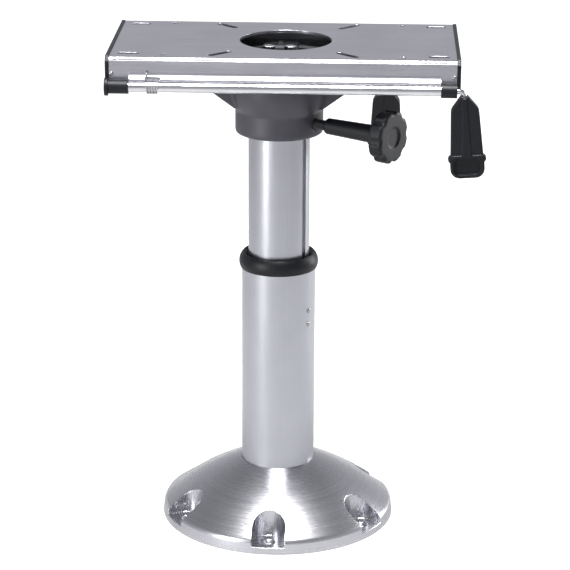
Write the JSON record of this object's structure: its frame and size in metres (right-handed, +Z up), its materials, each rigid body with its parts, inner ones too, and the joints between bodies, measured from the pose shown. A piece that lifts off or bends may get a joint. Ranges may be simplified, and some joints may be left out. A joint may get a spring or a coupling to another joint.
{
  "type": "boat seat pedestal",
  "caption": "Adjustable seat pedestal: bolt-down dome base, telescoping post on a gas spring, lockable swivel housing, and fore and aft seat slide with paddle levers.",
  "frame": {"origin": "centre of the base casting's underside, on the deck", "axes": "+Z up along the column, +X along the seat slide towards its lever grip, -Y the side the levers face"},
  "size_m": [0.3585, 0.234, 0.4909],
  "materials": {
    "cast_aluminium": "satin cast, polished dome",
    "satin_tube": "satin anodised",
    "grey_paint": "semi-matte violet-grey paint",
    "brushed_aluminium": "brushed along its length, polished lip",
    "mill_aluminium": "mill finish",
    "black_plastic": "fine grained",
    "dark_plastic": "moulded",
    "white_plastic": "natural acetal",
    "black_steel": "black coated",
    "bright_steel": "stainless",
    "polished_steel": "polished",
    "plain_steel": "plain",
    "brake_rubber": "matte"
  },
  "bodies": {
    "base": {"base_casting": "cast_aluminium", "outer_tube": "satin_tube", "key": "plain_steel", "key_screws": "bright_steel", "collar": "black_plastic", "bottom_plate": "plain_steel", "piston_rod": "polished_steel", "rod_clip": "plain_steel", "piston": "white_plastic"},
    "post": {"post": "satin_tube", "guide_ring": "white_plastic", "gas_cylinder": "black_steel", "post_head": "mill_aluminium", "retaining_ring": "plain_steel", "thrust_washer": "white_plastic"},
    "release_pin": {"release_pin": "bright_steel"},
    "housing": {"swivel_housing": "grey_paint", "lower_bush": "white_plastic", "upper_bush": "white_plastic", "lever_bush": "white_plastic", "release_block": "dark_plastic", "release_strap": "black_steel", "block_screws": "bright_steel", "strap_screws": "bright_steel", "carriage": "mill_aluminium", "front_glide": "dark_plastic", "rear_glide": "dark_plastic", "carriage_bolts": "bright_steel", "carriage_nuts": "bright_steel"},
    "brake_pad": {"brake_pad": "brake_rubber"},
    "clamp_knob": {"clamp_screw": "black_steel", "clamp_sleeve": "black_plastic", "clamp_knob": "black_plastic"},
    "height_lever": {"height_lever_rod": "plain_steel", "height_lever_grip": "black_plastic", "release_cam": "plain_steel", "lever_clip": "plain_steel"},
    "slide": {"slide_rail": "brushed_aluminium", "left_cap": "black_plastic", "right_cap": "black_plastic", "cap_screws": "bright_steel", "stop_blocks": "dark_plastic", "left_rod_bearing": "black_plastic", "right_rod_bearing": "black_plastic", "torsion_spring": "bright_steel"},
    "slide_lever": {"slide_lever_rod": "polished_steel", "slide_lever_grip": "black_plastic", "latch_arm": "black_steel", "latch_shoe": "brake_rubber"}
  },
  "joints": [
    {"name": "post_lift", "type": "slide", "parent": "base", "child": "post", "axis": [0, 0, 1], "range_m": [-0.11, 0]},
    {"name": "pin_press", "type": "slide", "parent": "post", "child": "release_pin", "axis": [0, 0, 1], "range_m": [-0.0026, 0]},
    {"name": "swivel", "type": "hinge", "parent": "post", "child": "housing", "pos_m": [0, 0, 0.434], "axis": [0, 0, 1], "continuous": true},
    {"name": "clamp_feed", "type": "slide", "parent": "housing", "child": "brake_pad", "axis": [0.8387, -0.5446, 0], "range_m": [-0.00095, 0]},
    {"name": "clamp_turn", "type": "hinge", "parent": "brake_pad", "child": "clamp_knob", "pos_m": [0, 0, 0.413], "axis": [0.8387, -0.5446, 0], "range_deg": [-216, 0]},
    {"name": "height_release", "type": "hinge", "parent": "housing", "child": "height_lever", "pos_m": [0, 0, 0.457], "axis": [1, 0, 0], "range_deg": [0, 35], "stiffness_Nm_per_rad": 0.3, "springref_deg": -20.05},
    {"name": "slide_travel", "type": "slide", "parent": "housing", "child": "slide", "axis": [1, 0, 0], "range_m": [-0.035, 0.055]},
    {"name": "slide_release", "type": "hinge", "parent": "slide", "child": "slide_lever", "pos_m": [0, -0.0882, 0.4627], "axis": [-1, 0, 0], "range_deg": [0, 30], "stiffness_Nm_per_rad": 0.3, "springref_deg": -20.05, "deforming": ["torsion_spring"]}
  ],
  "couplings": [
    {"joint": "pin_press", "follows": "height_release", "m_per_rad": -0.0040926},
    {"joint": "clamp_feed", "follows": "clamp_turn", "m_per_rad": 0.00023873}
  ]
}
